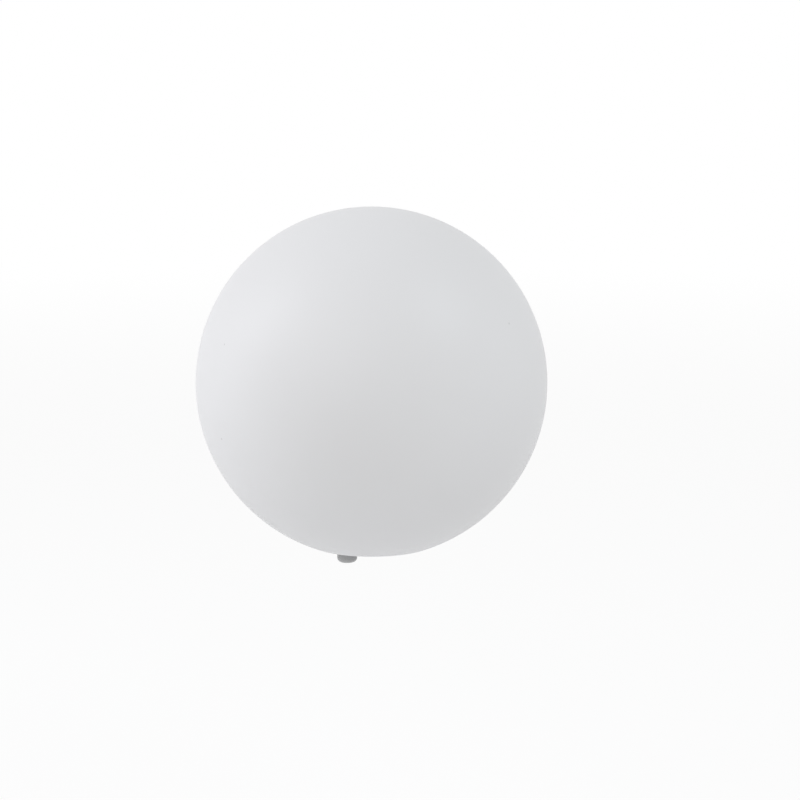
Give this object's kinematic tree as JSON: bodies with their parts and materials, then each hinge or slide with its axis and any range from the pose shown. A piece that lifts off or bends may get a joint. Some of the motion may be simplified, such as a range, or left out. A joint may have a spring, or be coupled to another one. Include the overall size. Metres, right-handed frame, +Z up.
{
  "type": "garden globe light",
  "caption": "Opal ball light for the garden: a hollow ball that twist-locks onto a round base with a spike socket, a cable gland and a screw lampholder with its bulb.",
  "frame": {"origin": "centre of the mouth of the spike socket, in the plane of the ball's flat underside", "axes": "+Z up through the ball, +X right and -Y towards the viewer; the cable gland stands at the left and slightly to the front"},
  "size_m": [0.4, 0.4, 0.4068],
  "materials": {
    "opal_shell": "satin rotation-moulded opal polyethylene",
    "grey_base": "fine-grained grey moulding",
    "black_rubber": "soft sealing rubber",
    "brass": "turned brass",
    "gland_grey": "satin grey polyamide",
    "membrane_white": "breathing membrane",
    "post_white": "moulded white plastic",
    "zinc_steel": "zinc-plated steel",
    "spring_steel": "spring wire",
    "holder_black": "black heat-proof plastic",
    "holder_ceramic": "unglazed insulating ceramic",
    "nickel_cap": "nickel-plated rolled cap",
    "black_glass": "black insulator",
    "bulb_white": "white bulb body",
    "bulb_opal": "opal diffuser",
    "aluminium": "pressed aluminium",
    "board_white": "white solder mask",
    "led_yellow": "phosphor",
    "board_green": "green solder mask",
    "component_black": "electronic parts",
    "block_natural": "natural polyamide",
    "wire_brown": "brown insulation",
    "wire_blue": "blue insulation",
    "copper": "bare copper strand"
  },
  "bodies": {
    "base": {"base_plate": "grey_base", "base_gasket": "black_rubber", "spike_socket": "brass", "gland_body": "gland_grey", "gland_seal_ring": "black_rubber", "gland_locknut": "gland_grey", "breather_body": "grey_base", "breather_membrane": "membrane_white", "lamp_post": "post_white", "post_screws": "zinc_steel", "threaded_nipple": "zinc_steel", "nipple_nut": "zinc_steel", "holder_dome": "holder_black", "holder_skirt": "holder_black", "holder_core": "holder_ceramic", "holder_screw_shell": "brass", "contact_spring": "spring_steel", "holder_clamps": "brass", "holder_clamp_screws": "zinc_steel", "holder_live_strip": "brass", "holder_neutral_stud": "brass", "terminal_block": "block_natural", "terminal_sleeves": "brass", "terminal_screws": "zinc_steel", "terminal_block_screw": "zinc_steel", "live_wire": "wire_brown", "neutral_wire": "wire_blue", "wire_ends": "copper"},
    "globe": {"globe_shell": "opal_shell", "globe_collar": "grey_base"},
    "contact": {"centre_contact": "brass"},
    "bulb": {"bulb_screw_cap": "nickel_cap", "bulb_insulator": "black_glass", "bulb_tip_contact": "zinc_steel", "bulb_body": "bulb_white", "bulb_diffuser": "bulb_opal", "bulb_heat_sink": "aluminium", "led_board": "board_white", "led_packages": "led_yellow", "driver_board": "board_green", "driver_parts": "component_black"},
    "sleeve": {"gland_sleeve": "black_rubber"},
    "nut": {"gland_dome_nut": "gland_grey"}
  },
  "joints": [
    {"name": "globe_twist", "type": "hinge", "parent": "base", "child": "globe", "pos_m": [0, 0, 0], "axis": [0, 0, 1], "range_deg": [0, 25]},
    {"name": "contact_rise", "type": "slide", "parent": "base", "child": "contact", "axis": [0, 0, 1], "range_m": [0, 0.00363], "deforming": ["contact_spring"]},
    {"name": "bulb_unscrew", "type": "hinge", "parent": "contact", "child": "bulb", "pos_m": [0, 0, 0], "axis": [0, 0, 1], "range_deg": [0, 360]},
    {"name": "sleeve_drop", "type": "slide", "parent": "base", "child": "sleeve", "axis": [0, 0, -1], "range_m": [0, 0.0015]},
    {"name": "dome_nut_turn", "type": "hinge", "parent": "sleeve", "child": "nut", "pos_m": [-0.028, -0.011, 0], "axis": [0, 0, -1], "range_deg": [0, 360]}
  ],
  "couplings": [
    {"joint": "contact_rise", "follows": "bulb_unscrew", "m_per_rad": 0.00057757},
    {"joint": "sleeve_drop", "follows": "dome_nut_turn", "m_per_rad": 0.00023873}
  ]
}
